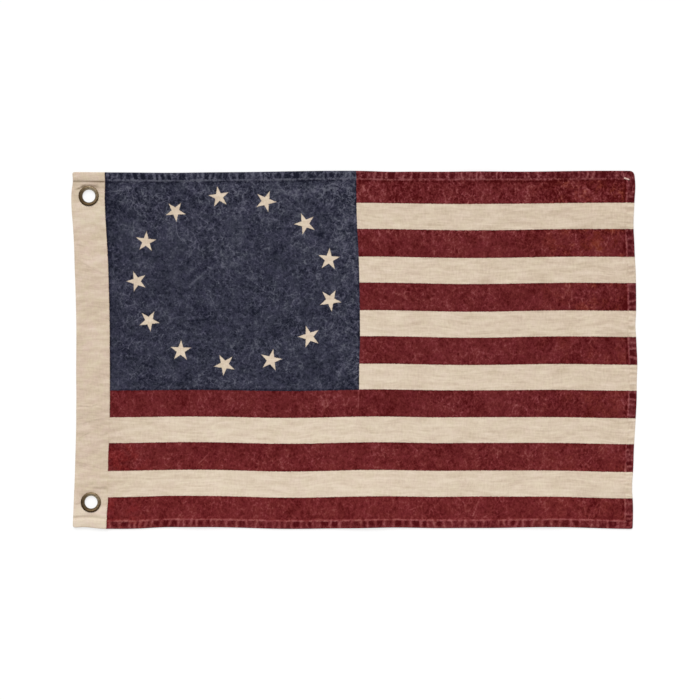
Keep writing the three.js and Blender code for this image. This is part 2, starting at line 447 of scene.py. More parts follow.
def drawn_in(value, end, inset):
    """Draws the end of a length of cloth in by inset, over a short reach."""
    past = abs(value) - (end - CORNER_REACH)
    if past <= 0:
        return value
    return math.copysign(end - CORNER_REACH + past * (1 - inset / CORNER_REACH), value)


class SewnCloth:
    """The cloth while it is sewn: its mesh, and each point's place, its spot in the flat cut and its rope,
    which is how far it is on a ridge or in a hollow of a roped hem."""

    def __init__(self):
        self.mesh = flat_face()
        self.mesh.loops.layers.uv.new("flat")
        self.mesh.loops.layers.uv.new("print")
        self.rope_layer = self.mesh.verts.layers.float.new("rope")
        self.place, self.flat, self.rope = {}, {}, {}
        hems = edges_of(self.mesh, "top", "fly", "bottom")
        heading = edges_of(self.mesh, "heading")
        for vert in self.mesh.verts:
            self.lay_face(vert)
        self.turn(hems, HEM_TURN_LINES, self.lay_hem)
        self.turn(heading, HEADING_TURN_LINES, self.lay_heading)

    def put(self, vert, place, flat, rope):
        self.place[vert], self.flat[vert], self.rope[vert] = place, flat, rope

    def lay_face(self, vert):
        x, y, _ = vert.co
        inside = drawn_in(x, HALF_LENGTH, FOLD_ROUND), drawn_in(y, HALF_HEIGHT, FOLD_ROUND)
        self.put(vert, (*inside, face_height(x, y)), (x, y), roped(x, y))

    def turn(self, edges, depths, lay):
        """Turns edges of the face under, each ring of new points by its own step of the outline."""
        outline = turn_under(depths)
        for ring, step in zip(turned_rings(self.mesh, edges, len(outline)), outline):
            for vert in ring:
                lay(vert, *step)

    def lay_hem(self, vert, out, inward, share, used):
        """The top, the fly and the bottom are turned in one run, mitred at the fly's corners."""
        x, y, _ = vert.co
        inset = FOLD_ROUND + inward - out
        at_fly = on_edge(vert, "fly")
        level = on_edge(vert, "top") or on_edge(vert, "bottom")
        new_x = drawn_in(x, HALF_LENGTH, inset if x > 0 else FOLD_ROUND)
        new_y = drawn_in(y, HALF_HEIGHT, inset)
        if level:
            new_y = math.copysign(HALF_HEIGHT - inset, y)
        if at_fly:
            new_x = HALF_LENGTH - inset
        under = CLOTH / 2 + HEADING_RISE * eased((HEADING_EDGE + 1 - x) / 2)
        height = under + (face_height(x, y) - under) * share
        flat = x + used * at_fly, y + math.copysign(used, y) * level
        self.put(vert, (new_x, new_y, height), flat, roped(x, y) * eased(share * 2))

    def lay_heading(self, vert, out, inward, share, used):
        """The heading is turned to the back at its whole width, over the ends of the two hems."""
        x, y, _ = vert.co
        new_x = -HALF_LENGTH + FOLD_ROUND + inward - out
        new_y = drawn_in(y, HALF_HEIGHT, FOLD_ROUND + 0.7 * eased(inward / 3))
        height = CLOTH / 2 + (face_height(x, y) - CLOTH / 2) * share
        self.put(vert, (new_x, new_y, height), (x - used, y), 0)

    def punch(self):
        """Punches the eyelet holes through every layer, and rounds them."""
        def away(vert, eyelet):
            return math.hypot(self.place[vert][0] - eyelet[0], self.place[vert][1] - eyelet[1])

        for eyelet in EYELETS.values():
            cleared = [v for v in self.mesh.verts if away(v, eyelet) < CLOTH_CLEAR_RADIUS]
            near = {v for c in cleared for e in c.link_edges for f in e.link_faces for v in f.verts}
            rim = near - set(cleared)
            bmesh.ops.delete(self.mesh, geom=cleared, context="VERTS")
            for vert in rim:
                x, y, height = self.place[vert]
                scale = CLOTH_HOLE_RADIUS / away(vert, eyelet)
                self.place[vert] = (
                    eyelet[0] + (x - eyelet[0]) * scale, eyelet[1] + (y - eyelet[1]) * scale, height)

    def finished(self, name):
        """Lays every point where it comes to lie, and makes the object."""
        self.punch()
        maps = self.mesh.loops.layers.uv
        for face in self.mesh.faces:
            for loop in face.loops:
                loop[maps["flat"]].uv = Vector(self.flat[loop.vert]) * MM
                loop[maps["print"]].uv = print_spot(*self.flat[loop.vert]) * MM
        for vert in self.mesh.verts:
            vert[self.rope_layer] = self.rope[vert]
            vert.co = laid(*self.place[vert]) * MM
        return made_object(name, self.mesh)


def smooth_mesh(name, shape):
    for face in shape.faces:
        face.smooth = True
    mesh = bpy.data.meshes.new(name)
    shape.to_mesh(mesh)
    shape.free()
    return mesh


def made_object(name, shape):
    """Puts a finished bmesh into the scene as one object."""
    piece = bpy.data.objects.new(name, smooth_mesh(name, shape))
    bpy.context.scene.collection.objects.link(piece)
    return piece


def sewn_cloth():
    """One length of cotton, hemmed on three sides and turned into the heading on the fourth."""
    cloth = SewnCloth().finished("printed_flag_cloth")
    cloth.data.materials.append(printed_cotton("printed_cotton"))
    cloth.data.materials.append(printed_cotton("printed_cotton_back", BACK_PALENESS))
    thickness = cloth.modifiers.new("thickness", "SOLIDIFY")
    thickness.thickness = CLOTH * MM
    thickness.offset = 0
    thickness.material_offset = 1
    thickness.use_even_offset = False
    return cloth


# ---------- the threads

def strand_form():
    """The strand that every stitch repeats, along X, two units long and thick."""
    shape = bmesh.new()
    bmesh.ops.create_uvsphere(shape, u_segments=8, v_segments=5, radius=1,
                              matrix=Matrix.Rotation(math.pi / 2, 4, "Y"))
    shape.loops.layers.uv.new("flat")
    shape.loops.layers.uv.new("print")
    return smooth_mesh("strand_form", shape)


def strand(shape, form, at, ahead, size, rise):
    """Adds one strand of (length, width, thickness) on the face, at a point of the flat flag."""
    middle = laid(*at, face_height(*at) + rise)
    towards = (laid(*ahead, face_height(*ahead) + rise) - middle).normalized()
    turn = towards.to_track_quat("X", "Z").to_matrix().to_4x4()
    half = Matrix.Diagonal((size[0] / 2, size[1] / 2, size[2] / 2, 1))
    place = Matrix.Translation(middle * MM) @ Matrix.Scale(MM, 4) @ turn @ half
    before = len(shape.verts)
    shape.from_mesh(form)
    shape.verts.ensure_lookup_table()
    flat_map, print_map = shape.loops.layers.uv["flat"], shape.loops.layers.uv["print"]
    for vert in shape.verts[before:]:
        vert.co = place @ vert.co
        for loop in vert.link_loops:
            loop[flat_map].uv = Vector(at) * MM
            loop[print_map].uv = print_spot(*at) * MM


def strands(name, rows, material):
    """One piece from many strands, given as (place, place ahead, size, rise)."""
    shape = bmesh.new()
    form = strand_form()
    for at, ahead, size, rise in rows:
        strand(shape, form, at, ahead, size, rise)
    piece = made_object(name, shape)
    bpy.data.meshes.remove(form)
    piece.data.materials.append(material)
    return piece


def stitch_rows():
    """Each row of stitches: a function from the distance along it to a point of the flat flag."""
    top_end, fly_end = HALF_LENGTH - STITCH_ENDS, HALF_HEIGHT - STITCH_ENDS
    return [
        (-HALF_LENGTH + 2, top_end, lambda at: (at, HALF_HEIGHT - stitch_inset(at))),
        (-HALF_LENGTH + 2, top_end, lambda at: (at, -HALF_HEIGHT + stitch_inset(at))),
        (-fly_end, fly_end, lambda at: (HALF_LENGTH - stitch_inset(at), at)),
        (-HALF_HEIGHT + 1.5, HALF_HEIGHT - 1.5, lambda at: (HEADING_EDGE - HEADING_STITCH_INSET, at)),
    ]


def hem_stitches():
    draw = random.Random(11)
    rows = []
    for start, end, point in stitch_rows():
        at = start
        while at < end:
            length = STITCH_LENGTH * draw.uniform(0.85, 1.1)
            size = length, THREAD, THREAD_FLATTENED * THREAD
            rows.append((point(at), point(at + 1), size, THREAD_LIFT))
            at += STITCH_PITCH
    return strands("hem_stitches", rows, printed_cotton("worn_thread", extra_wear=THREAD_WEAR))


def loose_thread():
    """A snipped end of thread caught on the top hem near the fly."""
    return strands("loose_thread", LOOSE_STRANDS, pale_thread())


# ---------- the eyelets

def ring(name, outline, centre, steps=72):
    """A closed ring turned from its outline of (radius, height) points in millimetres."""
    shape = bmesh.new()
    points = [shape.verts.new((radius * MM, 0, height * MM)) for radius, height in outline]
    edges = [shape.edges.new((a, b)) for a, b in zip(points, points[1:] + points[:1])]
    bmesh.ops.spin(shape, geom=points + edges, cent=(0, 0, 0), axis=(0, 0, 1), dvec=(0, 0, 0),
                   angle=2 * math.pi, steps=steps, use_merge=True)
    bmesh.ops.remove_doubles(shape, verts=shape.verts, dist=0.005 * MM)
    bmesh.ops.recalc_face_normals(shape, faces=shape.faces)
    bmesh.ops.translate(shape, verts=shape.verts, vec=(centre.x * MM, centre.y * MM, 0))
    return made_object(name, shape)


# Half sections of the rings, (radius, height)
EYELET_OUTLINE = [
    (8.1, 2.32), (8.2, 2.52), (8.18, 2.8), (8.04, 3.12), (7.82, 3.38), (7.5, 3.56), (7.14, 3.6), (6.8, 3.54),
    (6.4, 3.36), (6, 3.08), (5.66, 2.72), (5.4, 2.3), (5.24, 1.8), (5.16, 1.3), (5.16, 0.8), (5.24, 0.4),
    (5.5, 0.16), (5.95, 0.08), (6.4, 0.14), (6.65, 0.3), (6.6, 0.42), (6.3, 0.38), (5.95, 0.36),
    (5.66, 0.5), (5.56, 0.85), (5.56, 1.4), (5.7, 1.95), (5.98, 2.45), (6.36, 2.85), (6.8, 3.12),
    (7.2, 3.16), (7.56, 2.9), (7.75, 2.5), (7.8, 2.32),
]
WASHER_OUTLINE = [
    (5.75, 0.62), (5.85, 0.44), (6.2, 0.42), (6.7, 0.34), (7, 0.12), (7.4, 0), (7.9, 0.04), (8.1, 0.24),
    (8.1, 0.5), (7.9, 0.56), (7.6, 0.46), (7.2, 0.5), (6.9, 0.72), (6.3, 0.82), (5.85, 0.8),
]


def eyelets():
    """The brass eyelets and the washers that they are clinched over."""
    made = []
    for which in EYELETS:
        centre = middle_of(which + "_eyelet")
        for kind, outline in (("eyelet", EYELET_OUTLINE), ("washer", WASHER_OUTLINE)):
            piece = ring(f"{which}_brass_{kind}", outline, centre)
            piece.data.materials.append(aged_brass(f"aged_brass_{which}_{kind}", centre))
            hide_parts(f"{which}_{kind}")
            made.append(piece)
    return made


# ---------- the materials

LIGHT_ON_CLOTH = 1.06      # how much the scene's light brightens a colour


def dye(red, green, blue):
    """Linear colour of a dye, from its 8 bit screen colour under the scene's light."""
    def linear(value):
        value /= 255
        return value / 12.92 if value <= 0.04045 else ((value + 0.055) / 1.055) ** 2.4

    return tuple(linear(value) / LIGHT_ON_CLOTH for value in (red, green, blue)) + (1,)


# Washed dyes, bare cotton and brass, each deep, usual and worn
NAVY = [dye(24, 26, 40), dye(60, 61, 77), dye(96, 97, 111)]
RED = [dye(74, 9, 12), dye(113, 43, 46), dye(152, 85, 86)]
HEM_RED = [dye(74, 13, 18), dye(111, 47, 51), dye(150, 89, 91)]
RUSTY = [dye(76, 15, 12), dye(122, 49, 38), dye(154, 87, 72)]
BRIGHT_RED = [dye(84, 10, 14), dye(128, 44, 44), dye(158, 84, 80)]
COTTON = [dye(196, 176, 155), dye(215, 197, 176), dye(229, 213, 193)]
HEADING_COTTON = [dye(192, 172, 152), dye(212, 193, 173), dye(227, 211, 192)]
BRASS = [dye(76, 60, 40), dye(130, 111, 84), dye(206, 192, 168)]
THREAD_PINK = dye(206, 160, 152)
THREAD_WHITE = dye(232, 205, 192)

# Tints that darken a colour when they are multiplied into it
ROSY = (1, 0.94, 0.99, 1)
STRAW = (0.965, 1, 0.88, 1)
FOLD_SHADE = (0.42, 0.385, 0.34, 1)

WARP_PITCH = 0.46
WEFT_PITCH = 0.5
WEAVE_HEIGHT = 0.03
YARN_SWAY = 2.4
BACK_PALENESS = 0.38
THREAD_WEAR = 0.3

# How ragged and how soft the print's borders are, and how far in their line of thicker ink reaches
PRINT_WOBBLE = 0.7
PRINT_SOFTNESS = 0.32
INK_EDGE = 2.3
NAVY_INK_EDGE = 0.24
RED_INK_EDGE = 0.07

# A five-pointed star's side: the slope from its tip to its inner corner
STAR_SLOPE = (math.cos(math.radians(72)), math.sin(math.radians(72)))


class Bench:
    """Short calls for mixing one material out of nodes."""

    def __init__(self, name):
        self.material = bpy.data.materials.new(name)
        self.material.use_nodes = True
        self.tree = self.material.node_tree
        self.shader = self.tree.nodes["Principled BSDF"]

    def feed(self, socket, value):
        if isinstance(value, bpy.types.NodeSocket):
            self.tree.links.new(value, socket)
        else:
            socket.default_value = value

    def node(self, kind, inputs, **settings):
        made = self.tree.nodes.new("ShaderNode" + kind)
        for name, value in settings.items():
            setattr(made, name, value)
        for key, value in inputs.items():
            self.feed(made.inputs[key], value)
        return made

    def math(self, operation, *values):
        return self.node("Math", dict(enumerate(values)), operation=operation).outputs[0]

    def vector(self, operation, *values, output=0):
        return self.node("VectorMath", dict(enumerate(values)), operation=operation).outputs[output]

    def parts(self, at):
        return self.node("SeparateXYZ", {0: at}).outputs[:2]

    def total(self, *values):
        found = values[0]
        for value in values[1:]:
            found = self.math("ADD", found, value)
        return found

    def times(self, *values):
        found = values[0]
        for value in values[1:]:
            found = self.math("MULTIPLY", found, value)
        return found

    def less(self, a, b):
        return self.math("SUBTRACT", a, b)

    def level(self, value, low, high, to_low=0.0, to_high=1.0, easing="LINEAR"):
        """Goes from to_low to to_high as value goes from low to high."""
        inputs = {"Value": value, "From Min": low, "From Max": high, "To Min": to_low, "To Max": to_high}
        return self.node("MapRange", inputs, interpolation_type=easing).outputs[0]

    def step(self, *values):
        """The same, eased at both ends."""
        return self.level(*values, easing="SMOOTHSTEP")

    def between(self, value, rise, fall, high=1.0):
        """Eases up to high over the rise and back down over the fall."""
        return self.times(self.step(value, *rise), self.step(value, fall[1], fall[0], 0, high))

    def mix(self, share, a, b, blend="MIX"):
        inputs = {0: share, 6: a, 7: b}
        return self.node("Mix", inputs, data_type="RGBA", blend_type=blend).outputs[2]

    def tones(self, share, tones):
        low = self.mix(self.level(share, 0, 0.5), tones[0], tones[1])
        return self.mix(self.level(share, 0.5, 1), low, tones[2])

    def millimetres(self, coordinates):
        return self.vector("MULTIPLY", coordinates, (1 / MM,) * 3)

    def stretched(self, at, x, y, shift=0.0):
        """The point scaled by x and y, for streaks, and moved to another part of the noise."""
        return self.vector("ADD", self.vector("MULTIPLY", at, (x, y, 1)), (shift,) * 3)

    def noise(self, at, scale, detail=2.0, roughness=0.5, bend=0.0, shift=0.0):
        """Noise whose features are about 1 / scale millimetres across."""
        moved = self.vector("ADD", at, (shift, 0, shift))
        inputs = {"Vector": moved, "Scale": scale, "Detail": detail, "Roughness": roughness,
                  "Distortion": bend}
        return self.node("TexNoise", inputs).outputs[0]

    def noise_vector(self, at, scale, detail):
        return self.node("TexNoise", {"Vector": at, "Scale": scale, "Detail": detail}).outputs[1]

    def mottle(self, at, scale, detail, roughness, shift, spread, low=0.0, high=1.0):
        """Noise drawn out so that its middle spread runs from low to high."""
        found = self.noise(at, scale, detail, roughness, shift=shift)
        return self.level(found, 0.5 - spread, 0.5 + spread, low, high)

    def veins(self, at, scale, width, detail=3.0, roughness=0.6, bend=0.8, shift=0.0):
        """1 on thin wandering lines, where a noise crosses its middle."""
        off = self.less(self.noise(at, scale, detail, roughness, bend, shift), 0.5)
        return self.step(self.math("ABSOLUTE", off), 0, width, 1, 0)

    def bump(self, height):
        """Bends the surface by height, in millimetres."""
        made = self.node("Bump", {"Height": height, "Strength": 1, "Distance": MM})
        self.tree.links.new(made.outputs[0], self.shader.inputs["Normal"])

    def finish(self, colour, roughness, **constants):
        self.feed(self.shader.inputs["Base Color"], colour)
        self.feed(self.shader.inputs["Roughness"], roughness)
        for name, value in constants.items():
            self.shader.inputs[name.replace("_", " ")].default_value = value
        return self.material


class InkBench(Bench):
    """A bench for the cloth, with the print worked out from the flat cloth's millimetres."""

    def __init__(self, name):
        super().__init__(name)
        self.at = self.spot("flat")
        rough_edge = self.vector("SUBTRACT", self.noise_vector(self.at, 0.9, 1), (0.5, 0.5, 0.5))
        moved = self.vector("MULTIPLY", rough_edge, (PRINT_WOBBLE, PRINT_WOBBLE, 0))
        self.x, self.y = self.parts(self.vector("ADD", self.spot("print"), moved))
        self.flat_x, self.flat_y = self.parts(self.at)
        # Moved a little up and down along the cloth, as its yarns don't run dead straight
        sway = self.mottle(self.at, 0.022, 1, 0.5, 61, 0.25, -YARN_SWAY, YARN_SWAY)
        self.bent = self.vector("ADD", self.at, self.node("CombineXYZ", {1: sway}).outputs[0])

    def spot(self, uv_map):
        return self.millimetres(self.node("UVMap", {}, uv_map=uv_map).outputs[0])

    def inside(self, distance):
        """Whether the ink lies here, from the distance inside its outline."""
        return self.step(distance, -PRINT_SOFTNESS, PRINT_SOFTNESS)

    def past_heading(self):
        return self.less(self.x, PRINT_START)

    def stripe_depth(self):
        """Distance inside a red stripe: every other one, and both outer ones out to the edge."""
        wave = self.math("COSINE", self.times(self.y, math.pi / STRIPE))
        outer = self.less(self.math("ABSOLUTE", self.y), STRIPED_HALF)
        red = self.math("MAXIMUM", self.times(wave, STRIPE / math.pi), outer)
        return self.math("MINIMUM", self.total(red, RED_SPREAD), self.past_heading())

    def canton_depth(self):
        edge = self.step(self.y, *CANTON_JOG, CANTON_EDGE, CANTON_LOW_EDGE)
        corner = self.math("MINIMUM", self.less(edge, self.x), self.less(self.y, CANTON_FOOT))
        return self.math("MINIMUM", corner, self.past_heading())

    def nearest_star(self, across, up):
        """The nearest star's place round the ring, as an angle."""
        angle = self.math(
            "ARCTAN2", self.times(up, 1 / RING_RADII[1]), self.times(across, 1 / RING_RADII[0]))
        pitch = 2 * math.pi / STARS
        turns = self.times(self.less(angle, RING_START), 1 / pitch)
        return self.total(self.times(self.math("ROUND", turns), pitch), RING_START)

    def star_depth(self):
        """Distance inside the nearest star of the ring, which has one tip pointing outwards."""
        across, up = self.less(self.x, RING_CENTRE[0]), self.less(self.y, RING_CENTRE[1])
        own = self.nearest_star(across, up)
        star_x = self.times(self.math("COSINE", own), RING_RADII[0])
        star_y = self.times(self.math("SINE", own), RING_RADII[1])
        off_x, off_y = self.less(across, star_x), self.less(up, star_y)
        outward = self.math("ARCTAN2", star_y, star_x)
        turn = self.less(self.math("ARCTAN2", off_y, off_x), outward)
        folded = self.math("PINGPONG", turn, math.pi / 5)
        away = self.math("SQRT", self.total(self.times(off_x, off_x), self.times(off_y, off_y)))
        along = self.times(away, self.math("COSINE", folded), STAR_SLOPE[0])
        aside = self.times(away, self.math("SINE", folded), STAR_SLOPE[1])
        towards = self.math("COSINE", self.less(own, SWOLLEN_TOWARDS))
        size = self.level(towards, -1, 1, STAR_RADIUS * (1 - STAR_SWELL), STAR_RADIUS * (1 + STAR_SWELL))
        return self.less(self.times(size, STAR_SLOPE[0]), self.total(along, aside))

    def hem_inset(self):
        """Distance in from the nearest hemmed edge."""
        level = self.less(HALF_HEIGHT, self.math("ABSOLUTE", self.flat_y))
        return self.math("MINIMUM", level, self.less(HALF_LENGTH, self.flat_x))

    def zone(self, where, high=1.0, low=0.0):
        """Eases from low to high along a stretch of the flat cloth. With two, x fades y's in."""
        if len(where) > 1:
            return self.times(self.zone({"x": where["x"]}), self.zone({"y": where["y"]}, high, low))
        (way, stretch), = where.items()
        return self.step(self.flat_x if way == "x" else self.flat_y, *stretch, low, high)


# Marks of the wash. Grain, from slow patches to single yarns: scale, detail, roughness, shift, spread
# and strength
WASH_GRAIN = [
    (0.045, 3, 0.6, 0, 0.2, 0.13), (0.15, 2, 0.5, 17, 0.25, 0.2), (0.4, 3, 0.6, 43, 0.25, 0.24),
    (0.95, 2, 0.7, 71, 0.3, 0.2),
]
# Its fine lines, as width and strength, and what their sum is lowered by to keep the dye's tone
COARSE_CRACKLE = (0.85, 0.3)
FINE_CRACKLE = (0.65, 0.26)
VEINS = (0.07, 0.22)
LINE_BALANCE = -0.16
# Crackle cells of each dye in millimetres, coarse and fine, and how strongly they are drawn
NAVY_CELLS, NAVY_LINES = (5.2, 2.6), 1.15
RED_CELLS, RED_LINES = (4, 2.1), 0.9
# How worn each dye is all over, and how bold its marks are
NAVY_WEAR, NAVY_BOLDNESS = 0.335, 0.88
RED_WEAR, RED_BOLDNESS = 0.31, 0.76

# Stretches of the flat cloth that took the wash in their own way, as zone takes them
CANTON_TOP = {"y": (92, 130)}
UPPER_CANTON = {"y": (20, 130)}
BESIDE_STRIPES = {"x": (-30, -6)}
UNWORN_CORNER = {"x": (-172, -200), "y": (60, 90)}
TOP_STRIPE = {"y": (90, 98)}
NEAR_FLY = {"x": (150, 190), "y": (0, 60)}
TOP_BY_FLY = {"x": (145, 175), "y": (92, 104)}
FOOT = {"y": (-60, -110)}
RUSTED = {"x": (125, 200), "y": (-20, 90)}
LOW_CORNER = {"x": (-150, -190), "y": (-60, -90)}
LOW_STRIPES = {"y": (-50, -120)}
ABOVE_FOOT_HEM = {"y": (-132, -128)}
HEM_BY_HEADING = {"x": (-165, -145)}
HEM_OVER_STRIPES = {"x": (0, 10)}
HEADING_FOOT = {"y": (-116, -130)}
HEADING_OUTER = {"x": (-228, -208)}
LEFT_STRIPES = {"x": (-195, -110)}
ON_HEADING = {"x": (PRINT_START, PRINT_START - 1)}
TONE_JOIN = {"x": (PRINT_START + 12, PRINT_START - 3)}

# Bands across the hems and the heading, by their distance in from the edge: the rise and the fall
RUBBED_LINE = (4.8, 6.1), (6.3, 7.5)
# Beside the stitch line: painted shade where the hem steps down
STEP_SHADE_BAND = (6.6, 7.3), (7.6, 10)
# Painted shade where the heading's top and foot hems step down, and a painted highlight on the foot hem's
# step
TOP_HEM_STEP_SHADE = (6.3, 7.3), (7.6, 8.7)
FOOT_HEM_STEP_SHADE = (8.6, 10), (10.2, 12)
FOOT_STEP_HIGHLIGHT = (6.6, 7.7), (7.9, 8.9)
BELOW_EYELET = (92, 104), (116, 122)

# Marks on the flat cloth, as line_marks takes them
NAVY_RUBS = [
    (-127, 60, 41, 16, 1.7, 0.42), (-50.5, 119.5, -42, 11, 1.2, 0.42), (-122.5, 105.5, -42, 7, 1.2, 0.4),
    (-115, 95, -64, 9, 1, 0.24), (-83, 55.5, -42, 16, 1, 0.26), (-50, 25, 14, 8, 1, 0.3),
    (-79.5, 1.5, -52, 7, 1, 0.34), (-91, -23, -42, 10, 1.1, 0.34), (-18, -1, 6, 10, 0.9, 0.26),
    (-34, 127.5, 5, 22, 1.8, 0.3), (-20, 131, 4, 24, 2.4, 0.16), (-60, 130.5, -4, 20, 1.8, 0.2),
    (-66, 20, 3, 8, 0.9, 0.28), (-129, 24, 0, 15, 1.3, -0.34),
]
RED_RUBS = [
    (2, -40, 90, 12, 1.1, 0.42), (100.5, -129, 70, 12, 1, 0.42), (-123, -86, 45, 10, 1, 0.4),
    (117, -83, 88, 9, 0.8, 0.26), (53, -127.5, 20, 12, 0.9, 0.2), (132, 131, 88, 14, 1, 0.3),
    (112, 133, 80, 10, 1, 0.24), (-96, -128, -62, 8, 0.9, 0.2),
]
# Painted shade in the heading's creases, and painted highlights on the crests of its ridges
HEADING_CREASE_SHADE = [
    (-214.5, 133, 0, 9.5, 2.5, 1.1), (-221.5, 132, 22, 5, 1.8, 0.5), (-205.5, 132.5, 0, 5, 1.1, 0.3),
    (-225, 131, 8, 3.5, 1.3, 0.4), (-222, -47.5, -4, 8, 1.1, 0.42), (-213.5, -46, 24, 4, 0.9, 0.3),
    (-215.5, -59.5, 16, 15, 1.1, 0.3), (-221.5, -70.5, 28, 7, 1, 0.26), (-205, -69, 17, 5, 1, 0.26),
    (-223, -94.5, -7, 5, 1.1, 0.3), (-207, -110.5, 0, 9, 2, 0.42), (-225.5, -125, 10, 3, 1, 0.24),
    (-215, 67, -24, 16, 1.2, 0.2), (-224, 84, -8, 5, 1.1, 0.3), (-212.5, -133.5, -8, 7, 1, 0.22),
]
HEADING_RIDGE_HIGHLIGHTS = [
    (-214.5, 69.5, -24, 16, 1.5, 0.35), (-214.5, -62, 16, 12, 1.5, 0.3), (-221, -73, 28, 7, 1.4, 0.25),
    (-206, -113.5, 0, 7, 1.4, 0.4), (-215, 129.5, 0, 13, 1.5, 0.3),
]


def crackle(ink, at, size, look, shift):
    """Fine broken lines of a crackle with cells about size millimetres across."""
    width, strength = look
    bend = ink.vector("MULTIPLY", ink.noise_vector(at, 0.7 / size, 2), (1.6 * size, 1.6 * size, 0))
    placed = ink.vector("ADD", ink.vector("ADD", at, bend), (shift, shift, 0))
    cells = ink.node("TexVoronoi", {"Vector": placed, "Scale": 1 / size}, feature="DISTANCE_TO_EDGE",
                     voronoi_dimensions="2D").outputs["Distance"]
    kept = ink.step(ink.noise(at, 0.9 / size, 2, 0.5, shift=shift), 0.4, 0.6)
    return ink.times(ink.step(cells, 0, width / size, 1, 0), kept, strength)


def wash_marks(ink, at, shift, cells, line_strength):
    """Where washing has lifted the dye, above 0, or kept it, below 0."""
    grain = [ink.mottle(at, scale, detail, roughness, shift + own, spread, -strength, strength)
             for scale, detail, roughness, own, spread, strength in WASH_GRAIN]
    lines = ink.total(
        crackle(ink, at, cells[0], COARSE_CRACKLE, shift),
        crackle(ink, at, cells[1], FINE_CRACKLE, shift + 13),
        ink.times(ink.veins(at, 0.26, VEINS[0], 3, 0.6, 1, shift + 31), VEINS[1]),
        LINE_BALANCE)
    uneven = ink.mottle(at, 0.04, 2, 0.5, shift + 5, 0.15, 0.7, 1.3)
    creases = ink.times(
        ink.veins(at, 0.02, 0.009, 3, 0.5, 0.2, shift + 59),
        ink.step(ink.noise(at, 0.05, 2, 0.5, shift=shift + 7), 0.42, 0.58, 0, 0.3))
    return ink.total(ink.times(lines, uneven, line_strength), creases, *grain)


def navy_wear(ink):
    """The canton is worn most along its top and beside the stripes."""
    boldness = ink.total(NAVY_BOLDNESS, ink.zone(CANTON_TOP, 0.3), ink.zone(BESIDE_STRIPES, 0.3))
    paler = ink.total(ink.zone(UPPER_CANTON, 0.06), ink.zone(BESIDE_STRIPES, 0.08))
    unworn = ink.zone(UNWORN_CORNER, -0.2)
    marks = ink.times(wash_marks(ink, ink.at, 0, NAVY_CELLS, NAVY_LINES), boldness)
    return ink.total(NAVY_WEAR, paler, unworn, line_marks(ink, NAVY_RUBS), marks)


def red_wear(ink):
    """The stripes wear most in the top stripe, and a little more towards the fly."""
    boldness = ink.total(RED_BOLDNESS, ink.zone(TOP_STRIPE, 0.36), ink.zone(NEAR_FLY, 0.12, low=0.04))
    marks = wash_marks(ink, ink.stretched(ink.at, 1, 0.8), 120, RED_CELLS, RED_LINES)
    paler = ink.total(ink.zone(FOOT, 0.03), ink.zone(TOP_BY_FLY, -0.09))
    return ink.total(RED_WEAR, paler, line_marks(ink, RED_RUBS), ink.times(marks, boldness))


def slubs(ink):
    """Uneven yarns: thin streaks along the weft, and fainter ones along the warp."""
    weft = ink.noise(ink.stretched(ink.bent, 0.07, 0.7), 1, 4, 0.65)
    warp = ink.noise(ink.stretched(ink.bent, 0.7, 0.2, 23), 1, 3, 0.65)
    return ink.total(ink.times(weft, 0.58), ink.times(warp, 0.42))


def tinted(ink, colour, share):
    """Small patches of the cloth go rosy or straw coloured."""
    tint = ink.mix(ink.mottle(ink.at, 0.13, 4, 0.72, 211, 0.16), ROSY, STRAW)
    return ink.mix(share, colour, tint, "MULTIPLY")


def line_marks(ink, marks):
    """Soft lines: middle x and y, heading in degrees, half length, half width and strength."""
    found = []
    for x, y, degrees, half_length, half_width, strength in marks:
        turn = math.radians(degrees)
        off = ink.vector("SUBTRACT", ink.bent, (x, y, 0))
        along, aside = [
            ink.math("ABSOLUTE", ink.vector("DOT_PRODUCT", off, way, output=1))
            for way in ((math.cos(turn), math.sin(turn), 0), (-math.sin(turn), math.cos(turn), 0))]
        across = ink.step(aside, half_width, 0, 0, strength)
        found.append(ink.times(across, ink.step(along, half_length, half_length * 0.4)))
    broken = ink.mottle(ink.bent, 0.22, 3, 0.6, 37, 0.18, 0.35, 1.25)
    return ink.times(ink.total(*found), broken)


def weave(ink):
    """Height of the plain weave, in millimetres."""
    warp, weft = [ink.math("SINE", ink.times(part, 2 * math.pi / pitch))
                  for part, pitch in zip(ink.parts(ink.at), (WARP_PITCH, WEFT_PITCH))]
    return ink.times(warp, weft, WEAVE_HEIGHT)


def hem_wear(ink):
    """Where the hems are, what their ridges and hollows add to the wear, and what their rubbed stitch line
    adds, with a band of painted shade inside it, where the hem steps down, faint along the foot."""
    rope = ink.node("Attribute", {}, attribute_name="rope").outputs["Fac"]
    inset = ink.hem_inset()
    in_top = ink.total(ink.zone(HEM_BY_HEADING, 0, low=-0.25), ink.zone(HEM_OVER_STRIPES, 0.18), -0.56)
    ridges = ink.times(ink.step(rope, 0, 1), 0.3)
    hollows = ink.times(ink.step(rope, 0, -1), ink.step(ink.flat_y, 100, 120, -0.41, in_top))
    in_hem = ink.step(inset, STITCH_INSET + 0.2, STITCH_INSET - 0.6)
    rubbed = ink.mottle(ink.at, 0.3, 2, 0.5, 29, 0.18, 0.12, 0.62)
    # Painted shade beside the stitch line, inside it where the hem steps down; faint along the foot
    step_shade = ink.mottle(ink.at, 0.2, 2, 0.5, 3, 0.15, 0, -0.38)
    line = ink.total(
        ink.times(ink.between(inset, *RUBBED_LINE), rubbed),
        ink.times(ink.between(inset, *STEP_SHADE_BAND), ink.zone(ABOVE_FOOT_HEM, low=0.15), step_shade))
    return in_hem, ink.times(in_hem, ink.total(ridges, hollows)), line


def ink_edge(ink, depth, strength):
    """The thicker line of ink along the border of a printed area."""
    return ink.step(depth, INK_EDGE, 0.3, 0, -strength)


